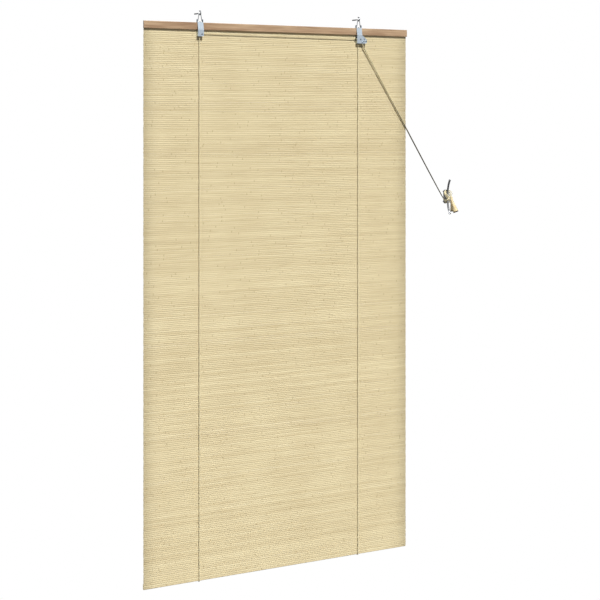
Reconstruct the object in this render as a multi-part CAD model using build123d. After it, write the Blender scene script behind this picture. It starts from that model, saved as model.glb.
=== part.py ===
from build123d import *
import math
import os

os.makedirs("parts", exist_ok=True)

# A bamboo roll up blind, fully let down, hanging on two screw hooks, with its pull cords on a cleat.
# Millimetres. X runs along the head batten, +Y points into the wall, +Z is up.
# The origin lies on the wall, midway between the two screw hooks, on the line of their shanks.

# Blind
blind_width = 900.0
blind_drop = 1600.0  # batten top to the mat's lower edge
batten_height = 21.0
batten_depth = 5.0
batten_rounding = 1.2
mat_thickness = 2.0
mat_trim = 1.0  # the mat is cut this much short of the batten at each end
mat_top_gap = 1.0
wall_gap = 10.0  # mat to wall
hook_line = 26.0  # screw hook shank down to the batten's top
bracket_inset = 178.0  # batten end to bracket middle

# Bottom slat
slat_height = 15.0
slat_depth = 4.0
slat_trim = 2.0
slat_lift = 1.0
slat_rounding = 1.0

# Staples
staple_drop = 9.5  # below the batten's top
staple_crown = 10.0
staple_wire = 0.6
staple_leg = 5.0
staple_margin = 26.0

# Sheet metal
sheet = 1.0
sheet_bend = 1.0  # bend radius on the sheet's middle line
bracket_width = 18.5
side_plate_gap = 0.8  # mat to the housing's rear plate
bracket_fall = 18.8  # front plate below the batten, pulley bracket
rear_leg = 20.0
anchor_tab = 8.2
anchor_shift = -2.1  # cord's rear run from the bracket's middle
ear_height = 9.4
ear_depth = 6.4
ear_flat = 1.2  # left straight at the top of each ear
plate_corner = 2.0
plate_lap = 2.0  # the saddle's front plate below the batten, before the housing's side wall begins to bend

# Cord lock housing, measured from the bracket's middle and the batten's lower face
lock_fall = 25.2
lock_reach = 26.0
lock_shoulder = 13.0
lock_neck = 2.0
lock_corner = 2.5

# Nylon bush in the housing's cord inlet
bush_neck_radius = 1.9
bush_flange_radius = 2.9
bush_flange = 1.2
bush_barrel_radius = 2.4
bush_length = 5.0  # outside the side wall

# Cord and pulleys
cord_radius = 1.0
cord_clearance = 0.3
groove_radius = 3.8
groove_width = 2.6
rim_radius = 5.8
rim_lip = 0.5
rim_rounding = 0.2
pulley_side_gap = 0.25
pulley_offset = 3.0  # axle to the bracket's middle
pulley_fall = 12.5  # axle below the batten
axle_radius = 1.5
hub_wall = 1.6
running_gap = 0.05
rivet_head_overhang = 0.8
rivet_head = 0.8
rivet_head_flat = 0.6  # share of the head's radius
rivet_head_rim = 0.4  # share of the head's height
rivet_tail = 0.5
rivet_tail_overhang = 0.6

# Guide rivets and lock roller, from the bracket's middle and the batten's lower face
guide_radius = 1.2
guide_places = [(15.5, -12.0), (9.8, -20.7), (22.8, -18.2)]
roller_radius = 2.6
roller_side_gap = 0.9
knurl_count = 20
knurl_depth = 0.25
lock_pin_radius = 1.2
slot_clearance = 0.1
slot_start = (14.5, -19.0)
slot_angle = 41.0
slot_length = 8.6

# Bail
bail_wire = 1.0
bail_half_width = 3.0
bail_foot_half_width = 6.0
bail_pivot_height = 5.7  # pivot above the batten's top
bail_bend = 1.6
bail_crown = 2.4
bail_end_gap = 1.0

# Screw hooks
hook_wire = 1.5
hook_thread_radius = 1.75
hook_thread = 22.0
hook_ring = 5.5
hook_rise = 1.5
hook_blend = 3.0
hook_mouth = 70.0  # angle of the hook's tip above the horizontal
hook_bearing_gap = 0.05

# Screws
screw_head_radius = 2.8
screw_head_flat = 1.75
screw_head = 1.6
screw_head_rim = 0.7
rear_screw_drop = 9.5  # below the batten's top
screw_radius = 1.3
screw_length = 6.5
screw_point = 2.5
recess_arm = 3.2
recess_width = 0.7
recess_depth = 0.9
screw_clearance = 0.2

# Cleat, screwed to the wall beside the blind
cleat_place = (608.5, -546.5)
cleat_plate = (13.0, 44.0, 3.0)  # width, height, thickness
cleat_plate_rounding = 0.8
cleat_screw_spacing = 32.0
cleat_post_spacing = 16.0
cleat_rod = 3.0
cleat_standoff = 14.5
cleat_straight = 10.0
cleat_horn_radius = 86.0
cleat_horn_angle = 29.0
cleat_tip_radius = 3.4
wall_screw_radius = 1.75
wall_screw_shank = 1.5  # plain, through the plate
wall_screw_plain = 3.5  # from the head's face to where the thread begins
wall_screw_head = 3.3
wall_screw_length = 16.0
wall_screw_point = 4.0
wall_screw_room = 0.15  # round the thread in the plate's hole

# Cord hitch on the cleat, as one solid of its outer shape
hitch_size = (22.5, 38.0)
hitch_corner = 7.0
hitch_shift = -3.25
hitch_front = 21.3
hitch_back = 6.0
hitch_clearance = 0.3
hitch_rounding = 3.0

# Tassels
tassel_length = 46.0
tassel_base_radius = 8.5
tassel_neck_radius = 3.5
tassel_neck_length = 3.0
tassel_neck_chamfer = 0.6
tassel_waist = (4.9, 17.6)  # radius, and distance below the top
tassel_rim_length = 5.0
tassel_bore_length = 7.0
tassel_wall = 1.8
tassel_cap_lip = 3.5  # the cap's edge, below the tassel
tassel_cap_plug = 2.5  # the cap's plug, inside it
tassel_cap_inset = 0.2
knot_radius = 2.6
knot_room = 0.6
left_tassel_top = (612.7, -26.5, -551.2)
left_tassel_lean = (13.3, -8.5, -44.6)
right_tassel_top = (621.5, -16.0, -547.0)
right_tassel_lean = (7.0, 0.0, -45.5)

# Places that follow from the sizes
mat_back = -wall_gap
mat_front = mat_back - mat_thickness
batten_back = mat_front
batten_front = batten_back - batten_depth
batten_middle = (batten_back + batten_front) / 2
batten_top = -hook_line
batten_bottom = batten_top - batten_height
mat_bottom = batten_top - blind_drop
bracket_x = blind_width / 2 - bracket_inset
batten_face = batten_front - sheet / 2
rear_plate = mat_front - side_plate_gap - sheet / 2
plate_space = 2 * (rim_lip + groove_width + pulley_side_gap) + rim_lip  # room for the pulley of two grooves
front_plate = rear_plate - plate_space - sheet
plate_middle = (rear_plate + front_plate) / 2
bail_pivot = batten_top + bail_pivot_height
ear_middle = (bracket_width - sheet) / 2
through = 4 * (wall_gap + plate_space)  # a cut this long passes through a whole bracket

# Cord routes, hand-picked corners from the rear anchor to the cleat, and from the cleat to the tassels
left_route = [
    (-274.1, -4.6, -44.6),
    (-274.1, -4.6, -1627.3),
    (-274.1, -17.4, -1627.3),
    (-274.1, -17.4, -54.4),
    (277.5, -18.95, -54.4),
    (281.0, -18.95, -59.0),
    (279.3, -18.95, -68.1),
    (597.5, -13.5, -562.5),
]
left_radii = [3.0, 3.0, 5.1, 4.6, 4.6, 2.3]
right_route = [
    (269.9, -4.6, -44.6),
    (269.9, -4.6, -1627.3),
    (269.9, -15.85, -1627.3),
    (269.9, -15.85, -56.2),
    (275.8, -15.85, -53.5),
    (280.8, -15.85, -57.8),
    (279.3, -15.85, -68.1),
    (597.5, -11.3, -562.5),
]
right_radii = [3.0, 3.0, 4.6, 4.6, 4.6, 2.3]
left_tail_route = [(606.5, -19.8, -543.5), (611.0, -25.4, -545.5), (614.7, -27.8, -557.8)]
left_tail_radii = [3.0]
right_tail_route = [(613.5, -15.0, -541.5), (620.7, -16.0, -542.1), (622.56, -16.0, -553.9)]
right_tail_radii = [3.0]


def slab(x, y, z):
    """Box between two limits on each axis."""
    size = [high - low for low, high in (x, y, z)]
    middle = [(high + low) / 2 for low, high in (x, y, z)]
    return Pos(*middle) * Box(*size)


def rod(start, end, radius):
    """Round bar from one point to another."""
    span = Vector(*end) - Vector(*start)
    return extrude(Plane(origin=start, z_dir=span) * Circle(radius), amount=span.length)


def turned(outline):
    """Solid of revolution about Z from points in (radius, height)."""
    return revolve(make_face(Plane.XZ * Polyline(*outline, close=True)), Axis.Z)


def along_y(shape, x, y, z):
    """Stand a shape that was turned about Z along Y, its top towards the viewer."""
    return Pos(x, y, z) * Rot(90, 0, 0) * shape


def cord_tube(route, radii, radius=cord_radius):
    """Cord of straight runs joined by tangent arcs."""
    path = FilletPolyline(*route, radius=radii)
    start = Vector(*route[0])
    tube = sweep(Plane(origin=start, z_dir=Vector(*route[1]) - start) * Circle(radius), path=path)
    print("cord", round(path.length, 1), "mm, radii", radii, "volume ratio",
          round(tube.volume / (math.pi * radius**2 * path.length), 4))
    return tube


def head_batten():
    half = blind_width / 2
    bar = slab((-half, half), (batten_front, batten_back), (batten_bottom, batten_top))
    return fillet(bar.edges().filter_by(Axis.X), batten_rounding)


def bamboo_mat():
    half = blind_width / 2 - mat_trim
    return slab((-half, half), (mat_front, mat_back), (mat_bottom, batten_top - mat_top_gap))


def bottom_slat():
    half = blind_width / 2 - slat_trim
    low = mat_bottom + slat_lift
    bar = slab((-half, half), (mat_back, mat_back + slat_depth), (low, low + slat_height))
    rear_edges = bar.edges().filter_by(Axis.X).group_by(Axis.Y)[-1]
    return fillet(rear_edges, slat_rounding)


def spread(start, end, count):
    """Evenly spaced places between two limits, clear of both."""
    return [start + (end - start) * (step + 0.5) / count for step in range(count)]


def batten_staples():
    bay = bracket_x + bracket_width / 2 + staple_crown
    half = blind_width / 2 - staple_margin / 2
    inner = bracket_x - bracket_width / 2 - staple_crown
    places = spread(-half, -bay, 2) + spread(-inner, inner, 5) + spread(bay, half, 2)
    height = batten_top - staple_drop
    half_wire = staple_wire / 2
    staples = []
    for x in places:
        crown = slab(
            (x - staple_crown / 2, x + staple_crown / 2),
            (mat_back, mat_back + staple_wire),
            (height - half_wire, height + half_wire),
        )
        for side in (-1, 1):
            leg_x = x + side * (staple_crown - staple_wire) / 2
            crown += slab(
                (leg_x - half_wire, leg_x + half_wire),
                (mat_back - staple_leg, mat_back + staple_wire),
                (height - half_wire, height + half_wire),
            )
        staples.append(crown)
    return Compound(children=staples)


def pan_screw():
    """Pan head screw along Z, seated on z = 0, head above."""
    profile = [
        (0, screw_head),
        (screw_head_flat, screw_head),
        (screw_head_radius, screw_head_rim),
        (screw_head_radius, 0),
        (screw_radius, 0),
        (screw_radius, screw_point - screw_length),
        (0, -screw_length),
    ]
    return turned(profile) - cross_recess(screw_head)


def cross_recess(top):
    middle = Pos(0, 0, top - recess_depth / 2)
    arm = Box(recess_arm, recess_width, recess_depth)
    return middle * (arm + Rot(0, 0, 90) * arm)


def bracket_screws(middle):
    """The top and rear screws of one bracket."""
    top = Pos(middle, batten_middle, batten_top + sheet) * pan_screw()
    rear = Pos(middle, mat_back + sheet, batten_top - rear_screw_drop) * Rot(-90, 0, 0) * pan_screw()
    return [top, rear]


def saddle(middle):
    """Sheet folded over the batten and out to the housing, with two ears, and a tab for the cord's knot."""
    leg_y = mat_back + sheet / 2
    top = batten_top + sheet / 2
    tab = top - rear_leg
    side = FilletPolyline(
        (front_plate, batten_bottom - plate_lap),
        (front_plate, batten_bottom),
        (batten_face, top),
        (leg_y, top),
        (leg_y, tab),
        (leg_y + anchor_tab, tab),
        radius=sheet_bend,
    )
    strip = extrude(Plane.YZ * trace(side, sheet), amount=bracket_width / 2, both=True)
    cradle = FilletPolyline(
        (-ear_middle, batten_top + ear_height),
        (-ear_middle, top),
        (ear_middle, top),
        (ear_middle, batten_top + ear_height),
        radius=sheet_bend,
    )
    ears = extrude(Plane.XZ * trace(cradle, sheet), amount=ear_depth / 2, both=True)
    ears = Pos(0, batten_middle, 0) * ears
    crown = ears.edges().filter_by(Axis.X).group_by(Axis.Z)[-1]
    ears = fillet(crown, (ear_depth - ear_flat) / 2)
    left_end = (-bracket_width, batten_middle, bail_pivot)
    right_end = (bracket_width, batten_middle, bail_pivot)
    pivot = rod(left_end, right_end, bail_wire + running_gap)
    cord_hole = Cylinder(cord_radius + cord_clearance, 4 * sheet)
    folded = strip + ears - pivot - Pos(anchor_shift, left_route[0][1], tab) * cord_hole
    screw_hole = Cylinder(screw_radius + screw_clearance, 4 * sheet)
    folded -= Pos(0, batten_middle, top) * screw_hole
    folded -= Pos(0, leg_y, batten_top - rear_screw_drop) * Rot(90, 0, 0) * screw_hole
    return Pos(middle, 0, 0) * folded


def channel(middle, fall):
    """Front plate, side wall and rear plate of a pulley housing, folded as one below the batten."""
    right = bracket_width / 2
    path = FilletPolyline(
        (right, front_plate),
        (-ear_middle, front_plate),
        (-ear_middle, rear_plate),
        (right, rear_plate),
        radius=sheet_bend,
    )
    height = fall - cord_clearance
    low = batten_bottom - fall
    return Pos(middle, 0, low) * extrude(trace(path, sheet), amount=height)


def axle_hole(x, z, radius):
    """Round hole through both plates of a housing."""
    return rod((x, front_plate - sheet, z), (x, mat_front, z), radius)


def left_bracket():
    lower = channel(-bracket_x, bracket_fall)
    corners = lower.edges().filter_by(Axis.Y).group_by(Axis.Z)[0].group_by(Axis.X)[-1]
    housing = saddle(-bracket_x) + fillet(corners, plate_corner)
    x, z = pulley_axis(-1)
    return housing - axle_hole(x, z, axle_radius)


def pulley_axis(side):
    return side * bracket_x + pulley_offset, batten_bottom - pulley_fall


def lock_outline():
    """Front view of the lock's plates below the batten."""
    half = bracket_width / 2
    outline = Polyline(
        (0, -lock_fall),
        (lock_reach - lock_corner, -lock_fall),
        (lock_reach, -lock_fall + lock_corner),
        (lock_reach, -lock_shoulder),
        (half + lock_neck, -lock_neck),
        (0, -lock_neck),
        close=True,
    )
    return make_face(outline)


def lock_slot():
    """Slanted slot of the lock's pin, through both plates."""
    run = math.radians(slot_angle)
    middle_x = slot_start[0] + slot_length / 2 * math.cos(run)
    middle_z = slot_start[1] + slot_length / 2 * math.sin(run)
    width = 2 * (lock_pin_radius + slot_clearance)
    cut = Pos(middle_x, middle_z) * Rot(0, 0, slot_angle) * SlotCenterToCenter(slot_length, width)
    return extrude(Plane.XZ * cut, amount=through, both=True)


def lock_plate(y):
    plate = extrude(Plane.XZ * lock_outline(), amount=sheet / 2, both=True)
    return Pos(bracket_x, y, batten_bottom) * plate


def lock_housing():
    housing = saddle(bracket_x) + channel(bracket_x, lock_fall)
    housing = housing + lock_plate(front_plate) + lock_plate(rear_plate)
    x, z = pulley_axis(1)
    housing -= axle_hole(x, z, axle_radius)
    for place in guide_places:
        housing -= axle_hole(bracket_x + place[0], batten_bottom + place[1], guide_radius)
    housing -= Pos(bracket_x, 0, batten_bottom) * lock_slot()
    inlet_y, inlet_z = inlet_place()
    outside = (bracket_x - bracket_width, inlet_y, inlet_z)
    inside = (bracket_x, inlet_y, inlet_z)
    return housing - rod(outside, inside, bush_neck_radius)


def inlet_place():
    """Where the left cord enters the lock, level with the top of the front groove."""
    height = pulley_axis(1)[1] + groove_radius + cord_clearance + cord_radius
    return plate_middle - (rim_lip + groove_width) / 2, height


def inlet_bush():
    bore = cord_radius + cord_clearance
    profile = [
        (bore, -sheet),
        (bush_neck_radius, -sheet),
        (bush_neck_radius, 0),
        (bush_flange_radius, 0),
        (bush_flange_radius, bush_flange),
        (bush_barrel_radius, bush_flange),
        (bush_barrel_radius, bush_length),
        (bore, bush_length),
    ]
    side_wall = bracket_x - bracket_width / 2
    return Pos(side_wall, *inlet_place()) * Rot(0, -90, 0) * turned(profile)


def rivet(x, z, radius):
    """Rivet through both plates, its head in front."""
    front = front_plate - sheet / 2
    back = rear_plate + sheet / 2
    rim = radius + rivet_head_overhang
    flat = rim * rivet_head_flat
    shoulder = rivet_head * rivet_head_rim
    head = turned([(0, rivet_head), (flat, rivet_head), (rim, shoulder), (rim, 0), (0, 0)])
    body = rod((x, front, z), (x, back, z), radius)
    tail = rod((x, back, z), (x, back + rivet_tail, z), radius + rivet_tail_overhang)
    return body + along_y(head, x, front, z) + tail


def pulley(grooves):
    """Pulley along Z, about its own middle, with a hub that fills the housing."""
    length = plate_space - 2 * pulley_side_gap
    pitch = rim_lip + groove_width
    width = grooves * pitch + rim_lip
    hub = Cylinder(axle_radius + hub_wall, length)
    wheel = Cylinder(rim_radius, width)
    wheel = fillet(wheel.edges(), rim_rounding)
    for step in range(grooves):
        middle = (step - (grooves - 1) / 2) * pitch
        ring = Cylinder(2 * rim_radius, groove_width) - Cylinder(groove_radius, groove_width)
        wheel -= Pos(0, 0, middle) * ring
    return wheel + hub - Cylinder(axle_radius + running_gap, 2 * length)


def place_pulley(side, grooves):
    x, z = pulley_axis(side)
    return along_y(pulley(grooves), x, plate_middle, z)


def roller_place():
    return bracket_x + slot_start[0], batten_bottom + slot_start[1]


def lock_roller():
    """Knurled roller with a plain bore."""
    length = plate_space - 2 * roller_side_gap
    body = Cylinder(roller_radius, length)
    notch = Pos(roller_radius, 0, 0) * Rot(0, 0, 45) * Box(2 * knurl_depth, 2 * knurl_depth, length)
    for step in range(knurl_count):
        body -= Rot(0, 0, 360 / knurl_count * step) * notch
    body -= Cylinder(lock_pin_radius + running_gap, 2 * length)
    x, z = roller_place()
    return along_y(body, x, plate_middle, z)


def bail(side):
    """Wire loop whose ends turn out through the ears."""
    crown = hook_rise - hook_ring + hook_wire + hook_bearing_gap + bail_wire
    tip = bracket_width / 2 + bail_end_gap
    corners = [
        (-tip, bail_pivot),
        (-bail_foot_half_width, bail_pivot),
        (-bail_half_width, crown),
        (bail_half_width, crown),
        (bail_foot_half_width, bail_pivot),
        (tip, bail_pivot),
    ]
    path = FilletPolyline(
        *[(x, batten_middle, z) for x, z in corners],
        radius=[bail_bend, bail_crown, bail_crown, bail_bend],
    )
    start = Plane(origin=(-tip, batten_middle, bail_pivot), z_dir=(1, 0, 0))
    return Pos(side * bracket_x, 0, 0) * sweep(start * Circle(bail_wire), path=path)


def wall_hook(side):
    """Screw hook: thread, plain shank, a short bend down and a round open hook."""
    reach = math.sqrt((hook_ring + hook_blend) ** 2 - (hook_rise + hook_blend) ** 2)
    blend_y = batten_middle + reach
    share = hook_blend / (hook_ring + hook_blend)
    drop = hook_rise + hook_blend
    turn = math.degrees(math.atan2(drop, reach))
    shank = Line((0, 0), (blend_y, 0))
    bend = CenterArc((blend_y, -hook_blend), hook_blend, 90, 90 - turn)
    ring = CenterArc((batten_middle, hook_rise), hook_ring, -turn, -(360 - turn - hook_mouth))
    path = Plane.YZ * Wire([*shank.edges(), *bend.edges(), *ring.edges()])
    wire = sweep(Plane(origin=(0, 0, 0), z_dir=(0, -1, 0)) * Circle(hook_wire), path=path)
    tip = math.radians(hook_mouth)
    tip_y = batten_middle + hook_ring * math.cos(tip)
    tip_z = hook_rise + hook_ring * math.sin(tip)
    wire += Pos(0, tip_y, tip_z) * Sphere(hook_wire)
    point = hook_thread - 2 * hook_thread_radius
    thread = turned([(0, 0), (hook_thread_radius, 0), (hook_thread_radius, point), (0, hook_thread)])
    wire += Rot(-90, 0, 0) * thread
    return Pos(side * bracket_x, 0, 0) * wire


def lock_pin():
    x, z = roller_place()
    return rivet(x, z, lock_pin_radius)


def guide_rivets():
    return Compound(children=[
        rivet(bracket_x + x, batten_bottom + z, guide_radius) for x, z in guide_places
    ])


def cleat_body(extra=0.0):
    """Posts and horned rod of the cleat, about its own middle, thicker by extra for a fit around it."""
    rod_radius = cleat_rod + extra
    turn = cleat_horn_angle
    middle_y = -cleat_standoff - cleat_horn_radius
    lower = CenterArc((middle_y, -cleat_straight), cleat_horn_radius, -turn, turn)
    straight = Line((-cleat_standoff, -cleat_straight), (-cleat_standoff, cleat_straight))
    upper = CenterArc((middle_y, cleat_straight), cleat_horn_radius, 0, turn)
    path = Plane.YZ * Wire([*lower.edges(), *straight.edges(), *upper.edges()])
    tip_y = middle_y + cleat_horn_radius * math.cos(math.radians(turn))
    tip_z = cleat_straight + cleat_horn_radius * math.sin(math.radians(turn))
    heading = (0, math.sin(math.radians(turn)), math.cos(math.radians(turn)))
    shape = sweep(Plane(origin=(0, tip_y, -tip_z), z_dir=heading) * Circle(rod_radius), path=path)
    for side in (-1, 1):
        shape += Pos(0, tip_y, side * tip_z) * Sphere(cleat_tip_radius + extra)
        post_z = side * cleat_post_spacing / 2
        shape += rod((0, -cleat_plate[2] / 2, post_z), (0, -cleat_standoff, post_z), rod_radius)
    return shape


def wall_screw_body():
    """Countersunk screw along Z without its recess, its flat head at z = 0."""
    profile = [
        (0, 0),
        (wall_screw_head, 0),
        (wall_screw_shank, wall_screw_shank - wall_screw_head),
        (wall_screw_shank, -wall_screw_plain),
        (wall_screw_radius, -wall_screw_plain),
        (wall_screw_radius, wall_screw_point - wall_screw_length),
        (0, -wall_screw_length),
    ]
    return turned(profile)


def countersunk_hole():
    """Cut for a wall screw along Z, its seat at z = 0."""
    hole = wall_screw_radius + wall_screw_room
    low = -2 * cleat_plate[2]
    return turned([(0, 0), (wall_screw_head, 0), (hole, hole - wall_screw_head), (hole, low), (0, low)])


def at_cleat_holes(shape):
    """Copies of a shape turned about Z, one in each of the cleat's two holes."""
    return [
        Pos(0, -cleat_plate[2], side * cleat_screw_spacing / 2) * Rot(90, 0, 0) * shape
        for side in (-1, 1)
    ]


def at_cleat(shape):
    return Pos(cleat_place[0], 0, cleat_place[1]) * shape


def cord_cleat():
    width, height, thickness = cleat_plate
    plate = extrude(Plane.XZ * Rot(0, 0, 90) * SlotOverall(height, width), amount=thickness)
    front = plate.edges().group_by(Axis.Y)[0]
    plate = fillet(front, cleat_plate_rounding)
    body = plate + cleat_body()
    for hole in at_cleat_holes(countersunk_hole()):
        body -= hole
    return at_cleat(body)


def cord_hitch(cords):
    """The turns of both cords round the cleat, as one solid of their outer shape."""
    outline = Pos(hitch_shift, 0) * RectangleRounded(*hitch_size, hitch_corner)
    turns = Pos(0, -hitch_back, 0) * extrude(Plane.XZ * outline, amount=hitch_front - hitch_back)
    rims = turns.edges().group_by(Axis.Y)
    turns = fillet(rims[0] + rims[-1], hitch_rounding)
    turns = at_cleat(turns - cleat_body(hitch_clearance))
    for cord in cords:
        turns -= cord
    return turns


def tassel_shapes():
    """Turned hollow tassel and its end cap along Z, the cord's hole at z = 0."""
    neck, base, length = tassel_neck_radius, tassel_base_radius, tassel_length
    seat = tassel_cap_lip - length
    plug = seat + tassel_cap_plug
    bore = cord_radius + cord_clearance
    pocket = base - tassel_wall
    room = knot_radius + knot_room
    outer = Polyline(
        (bore, 0),
        (neck - tassel_neck_chamfer, 0),
        (neck, -tassel_neck_chamfer),
        (neck, -tassel_neck_length),
    )
    waist = (tassel_waist[0], -tassel_waist[1])
    flare = ThreePointArc((neck, -tassel_neck_length), waist, (base, tassel_rim_length - length))
    inner = Polyline(
        (base, tassel_rim_length - length),
        (base, seat),
        (pocket, seat),
        (pocket, plug),
        (room, bore - room - tassel_bore_length),
        (bore, -tassel_bore_length),
        (bore, 0),
    )
    shell = revolve(make_face(Plane.XZ * (outer + flare + inner)), Axis.Z)
    edge = base - tassel_cap_inset
    fit = pocket - running_gap
    cap = turned([(0, plug), (fit, plug), (fit, seat), (edge, seat), (edge, -length), (0, -length)])
    return shell, cap


def place_tassel(shape, top, lean):
    return Plane(origin=top, z_dir=-Vector(*lean)).location * shape


def tassel_knots(tails):
    """The knot at the end of each cord, in the cone below its tassel's bore."""
    depth = tassel_bore_length + knot_radius * math.sqrt(2) - cord_radius - cord_clearance
    knot = Pos(0, 0, -depth - running_gap) * Sphere(knot_radius)
    places = ((left_tassel_top, left_tassel_lean), (right_tassel_top, right_tassel_lean))
    return [place_tassel(knot, *place) - tail for place, tail in zip(places, tails)]


def anchor_knots(cords):
    """The knot at the upper end of each cord's rear run, resting on its bracket's tab."""
    height = batten_top + sheet - rear_leg + knot_radius
    return [
        Pos(route[0][0], route[0][1], height) * Sphere(knot_radius) - cord
        for route, cord in zip((left_route, right_route), cords)
    ]


left_cord = cord_tube(left_route, left_radii)
right_cord = cord_tube(right_route, right_radii)
left_tail = cord_tube(left_tail_route, left_tail_radii)
right_tail = cord_tube(right_tail_route, right_tail_radii)

wall_screws = [at_cleat(screw) for screw in at_cleat_holes(wall_screw_body() - cross_recess(0))]
screws = bracket_screws(-bracket_x) + bracket_screws(bracket_x)
staples = batten_staples()
shell, cap = tassel_shapes()
batten = head_batten() - staples
mat = bamboo_mat() - staples
for screw in screws:
    batten -= screw
    mat -= screw

nodes = {
    "head_batten": batten,
    "bamboo_mat": mat,
    "bottom_slat": bottom_slat(),
    "batten_staples": staples,
    "left_bracket": left_bracket(),
    "lock_housing": lock_housing(),
    "inlet_bush": inlet_bush(),
    "bracket_screws": Compound(children=screws),
    "left_pulley": place_pulley(-1, 1),
    "left_axle": rivet(*pulley_axis(-1), axle_radius),
    "right_pulley": place_pulley(1, 2),
    "right_axle": rivet(*pulley_axis(1), axle_radius),
    "guide_rivets": guide_rivets(),
    "lock_pin": lock_pin(),
    "lock_roller": lock_roller(),
    "left_bail": bail(-1),
    "right_bail": bail(1),
    "left_wall_hook": wall_hook(-1),
    "right_wall_hook": wall_hook(1),
    "left_cord": left_cord,
    "right_cord": right_cord,
    "left_tail": left_tail,
    "right_tail": right_tail,
    "anchor_knots": Compound(children=anchor_knots([left_cord, right_cord])),
    "cord_cleat": cord_cleat(),
    "cleat_screws": Compound(children=wall_screws),
    "cord_hitch": cord_hitch([left_cord, right_cord, left_tail, right_tail]),
    "tassel_knots": Compound(children=tassel_knots([left_tail, right_tail])),
    "left_tassel": place_tassel(shell, left_tassel_top, left_tassel_lean),
    "right_tassel": place_tassel(shell, right_tassel_top, right_tassel_lean),
    "left_tassel_cap": place_tassel(cap, left_tassel_top, left_tassel_lean),
    "right_tassel_cap": place_tassel(cap, right_tassel_top, right_tassel_lean),
}

for name, shape in nodes.items():
    export_step(shape, f"parts/{name}.step")
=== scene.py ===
import math

import bpy
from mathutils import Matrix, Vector


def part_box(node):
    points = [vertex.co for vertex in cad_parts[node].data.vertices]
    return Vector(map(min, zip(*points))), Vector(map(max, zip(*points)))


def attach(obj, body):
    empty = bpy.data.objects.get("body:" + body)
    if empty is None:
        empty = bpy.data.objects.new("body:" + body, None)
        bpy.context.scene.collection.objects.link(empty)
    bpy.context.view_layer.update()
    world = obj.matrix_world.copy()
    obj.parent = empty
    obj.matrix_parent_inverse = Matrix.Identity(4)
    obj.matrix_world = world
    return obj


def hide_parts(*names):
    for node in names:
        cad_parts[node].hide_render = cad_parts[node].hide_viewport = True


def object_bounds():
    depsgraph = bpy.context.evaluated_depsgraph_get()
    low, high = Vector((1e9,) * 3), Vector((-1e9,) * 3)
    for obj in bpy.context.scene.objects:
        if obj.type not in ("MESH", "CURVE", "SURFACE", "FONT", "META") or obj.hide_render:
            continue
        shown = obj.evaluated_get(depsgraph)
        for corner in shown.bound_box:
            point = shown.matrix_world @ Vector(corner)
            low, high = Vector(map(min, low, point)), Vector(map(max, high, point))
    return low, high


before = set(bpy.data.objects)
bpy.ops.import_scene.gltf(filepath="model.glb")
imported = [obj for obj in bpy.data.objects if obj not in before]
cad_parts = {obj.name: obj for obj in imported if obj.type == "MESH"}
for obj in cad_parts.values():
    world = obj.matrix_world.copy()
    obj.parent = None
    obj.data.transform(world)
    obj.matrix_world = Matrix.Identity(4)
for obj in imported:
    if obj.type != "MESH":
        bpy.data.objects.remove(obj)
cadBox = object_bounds()
print("frame loaded,", len(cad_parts), "nodes")

# A bamboo roll up blind, let down, on two screw hooks, with its pull cords on a cleat.
# Metres. X runs along the head batten, +Y points into the wall, +Z is up.
mm = 0.001
rootBody = "hung_blind"


# Adds a node, sets its properties, and links or fills its inputs, which go by name or number.
def addNode(tree, kind, inputs=None, **settings):
    node = tree.nodes.new(kind)
    for name, value in settings.items():
        setattr(node, name, value)
    for key, value in (inputs or {}).items():
        if isinstance(value, bpy.types.NodeSocket):
            tree.links.new(value, node.inputs[key])
        else:
            node.inputs[key].default_value = value
    return node


# sRGB hex to the linear colour that a shader takes
def colour(hexCode):
    parts = [int(hexCode[i:i + 2], 16) / 255 for i in (1, 3, 5)]
    linear = [c / 12.92 if c <= 0.04045 else ((c + 0.055) / 1.055) ** 2.4 for c in parts]
    return (*linear, 1.0)


def addObject(name, data):
    item = bpy.data.objects.new(name, data)
    bpy.context.collection.objects.link(item)
    return item


# Camera, sun, sky and floor

studio = dict(
    cameraSpot=(-2.393, -4.055, -0.311),
    cameraTurn=31.3,  # degrees to the right of square on
    lens=95.4,
    frameDrop=-0.2967,  # of the frame's width; the camera stays level, so upright lines stay upright
    farClip=60.0,
    sunTravel=(0.0, 1.0, -1.15),
    sunStrength=4.45,
    sunAngle=2.0,  # degrees, softens the cords' shadows on the mat
    frontSky=0.27,
    backSky=0.95,  # the wall's side, so that the back isn't dim
    lowGloss=0.4,  # what metal mirrors from below, from above, and from the wall's side
    highGloss=1.05,
    backGloss=0.15,
    skyTurn=(-0.1, 0.1),  # where along a heading's Y or Z one level turns to the next
    heightTurn=(-0.3, 0.1),
    wallTurn=(-0.4, 0.3),
    backdrop=1.0,
    floorBounce=0.15,
    floorDrop=0.75,
    floorSize=40.0,
)


def makeCamera():
    data = bpy.data.cameras.new("camera")
    data.lens = studio["lens"]
    data.shift_y = studio["frameDrop"]
    data.clip_end = studio["farClip"]
    camera = addObject("camera", data)
    camera.location = studio["cameraSpot"]
    camera.rotation_euler = (math.radians(90), 0, math.radians(-studio["cameraTurn"]))
    bpy.context.scene.camera = camera
    bpy.context.scene.view_settings.view_transform = "Standard"


def makeSun():
    data = bpy.data.lights.new("sun", "SUN")
    data.energy = studio["sunStrength"]
    data.angle = math.radians(studio["sunAngle"])
    sun = addObject("sun", data)
    sun.rotation_euler = Vector(studio["sunTravel"]).to_track_quat("-Z", "Y").to_euler()


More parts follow.
